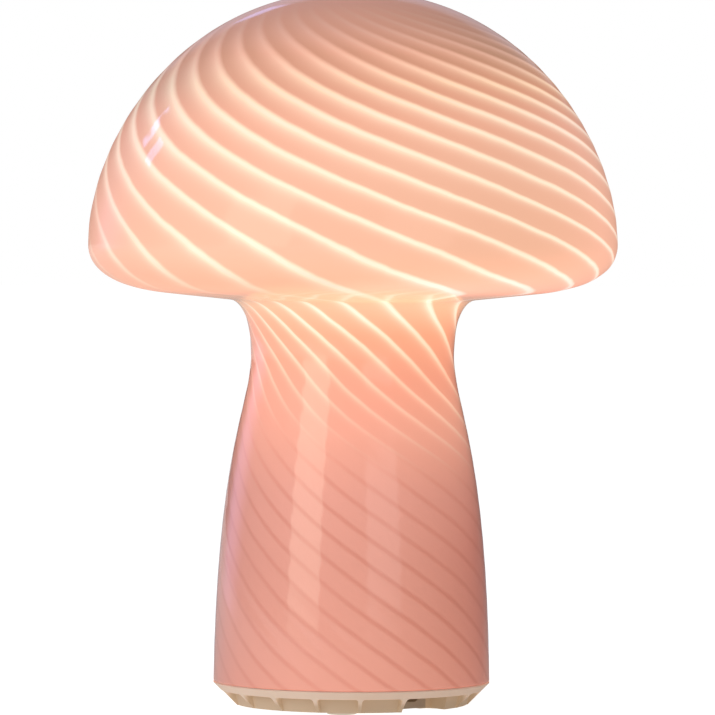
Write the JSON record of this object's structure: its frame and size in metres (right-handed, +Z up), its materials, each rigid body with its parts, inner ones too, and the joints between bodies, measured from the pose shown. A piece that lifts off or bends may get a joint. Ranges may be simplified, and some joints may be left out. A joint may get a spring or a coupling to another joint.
{
  "type": "mushroom table lamp",
  "caption": "Mushroom-shaped table lamp: a one-piece blown opal glass cap and stem on a low ribbed base that holds a pipe, lampholder and small globe bulb.",
  "frame": {"origin": "on the ground, under the middle of the base", "axes": "+Z up along the lamp's axis; the front of the lamp faces -Y; +X is to the right seen from the front"},
  "size_m": [0.18, 0.18, 0.2435],
  "materials": {
    "base_plastic": "moulded, cream",
    "zinc_steel": "zinc plated",
    "foot_rubber": "matt",
    "clear_silicone": "soft, translucent",
    "bush_rubber": "matt",
    "block_plastic": "natural polyamide",
    "contact_brass": "bright",
    "live_insulation": "brown insulation",
    "neutral_insulation": "blue insulation",
    "holder_plastic": "moulded, white",
    "holder_ceramic": "steatite, unglazed",
    "opal_glass": "blown, pink opal with a white twist",
    "collar_plastic": "moulded, white",
    "tinned_contact": "solder dome",
    "black_glass": "fused black insulator",
    "nickel_shell": "nickel plated",
    "bulb_plastic": "moulded, white",
    "board_green": "solder mask",
    "driver_black": "moulded",
    "board_aluminium": "white solder mask on metal core",
    "led_phosphor": "phosphor",
    "bulb_opal": "opal, lit"
  },
  "bodies": {
    "base": {"base_housing": "base_plastic", "bottom_cover": "base_plastic", "cover_screws": "zinc_steel", "rubber_feet": "foot_rubber", "rim_gasket": "clear_silicone", "inlet_bush": "bush_rubber", "stand_pipe": "zinc_steel", "pipe_nuts": "zinc_steel", "pipe_washers": "zinc_steel", "terminal_block": "block_plastic", "terminal_barrels": "contact_brass", "clamp_screws": "zinc_steel", "block_screw": "zinc_steel", "lead_live": "live_insulation", "lead_neutral": "neutral_insulation", "holder_cap": "holder_plastic", "holder_set_screw": "zinc_steel", "holder_shell": "holder_plastic", "holder_insert": "holder_ceramic", "holder_centre_contact": "contact_brass", "holder_side_contact": "contact_brass", "holder_screws": "zinc_steel"},
    "shade": {"glass_shade": "opal_glass", "shade_collar": "collar_plastic", "collar_adhesive": "clear_silicone"},
    "bulb_tip": {"bulb_tip_contact": "tinned_contact"},
    "bulb": {"bulb_insulator": "black_glass", "bulb_screw_shell": "nickel_shell", "bulb_body": "bulb_plastic", "bulb_driver_board": "board_green", "bulb_driver_parts": "driver_black", "bulb_led_board": "board_aluminium", "bulb_led_chips": "led_phosphor", "bulb_diffuser": "bulb_opal"}
  },
  "joints": [
    {"name": "shade_twist", "type": "hinge", "parent": "base", "child": "shade", "pos_m": [0, 0, 0], "axis": [0, 0, 1], "range_deg": [0, 40]},
    {"name": "bulb_rise", "type": "slide", "parent": "base", "child": "bulb_tip", "axis": [0, 0, 1], "range_m": [0, 0.0113]},
    {"name": "bulb_turn", "type": "hinge", "parent": "bulb_tip", "child": "bulb", "pos_m": [0, 0, 0], "axis": [0, 0, 1], "range_deg": [0, 1440]}
  ],
  "couplings": [
    {"joint": "bulb_rise", "follows": "bulb_turn", "m_per_rad": 0.00044882}
  ]
}
